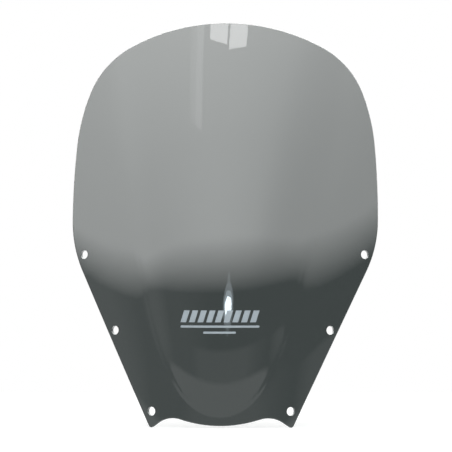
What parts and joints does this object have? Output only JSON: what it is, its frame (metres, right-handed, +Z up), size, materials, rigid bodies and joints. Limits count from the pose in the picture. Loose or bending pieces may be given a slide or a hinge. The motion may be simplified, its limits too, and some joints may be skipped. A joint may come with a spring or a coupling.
{
  "type": "motorcycle windshield screen",
  "caption": "Clear smoked windshield screen for a motorcycle fairing, a formed acrylic sheet with a blown bubble and screw holes along both lower edges.",
  "frame": {"origin": "centred left to right and front to back under the sheet, level with the tips of its lower ears", "axes": "-Y is the rounded front that meets the wind, +Y the hollow rider's side, +X the right side seen from the front, +Z up along the sheet from the ears to the top edge"},
  "size_m": [0.3408, 0.1202, 0.4487],
  "materials": {
    "smoked_acrylic": "polished, transparent",
    "white_ink": "screen-printed"
  },
  "bodies": {
    "root": {"screen": "smoked_acrylic", "printed_mark": "white_ink"}
  },
  "joints": []
}
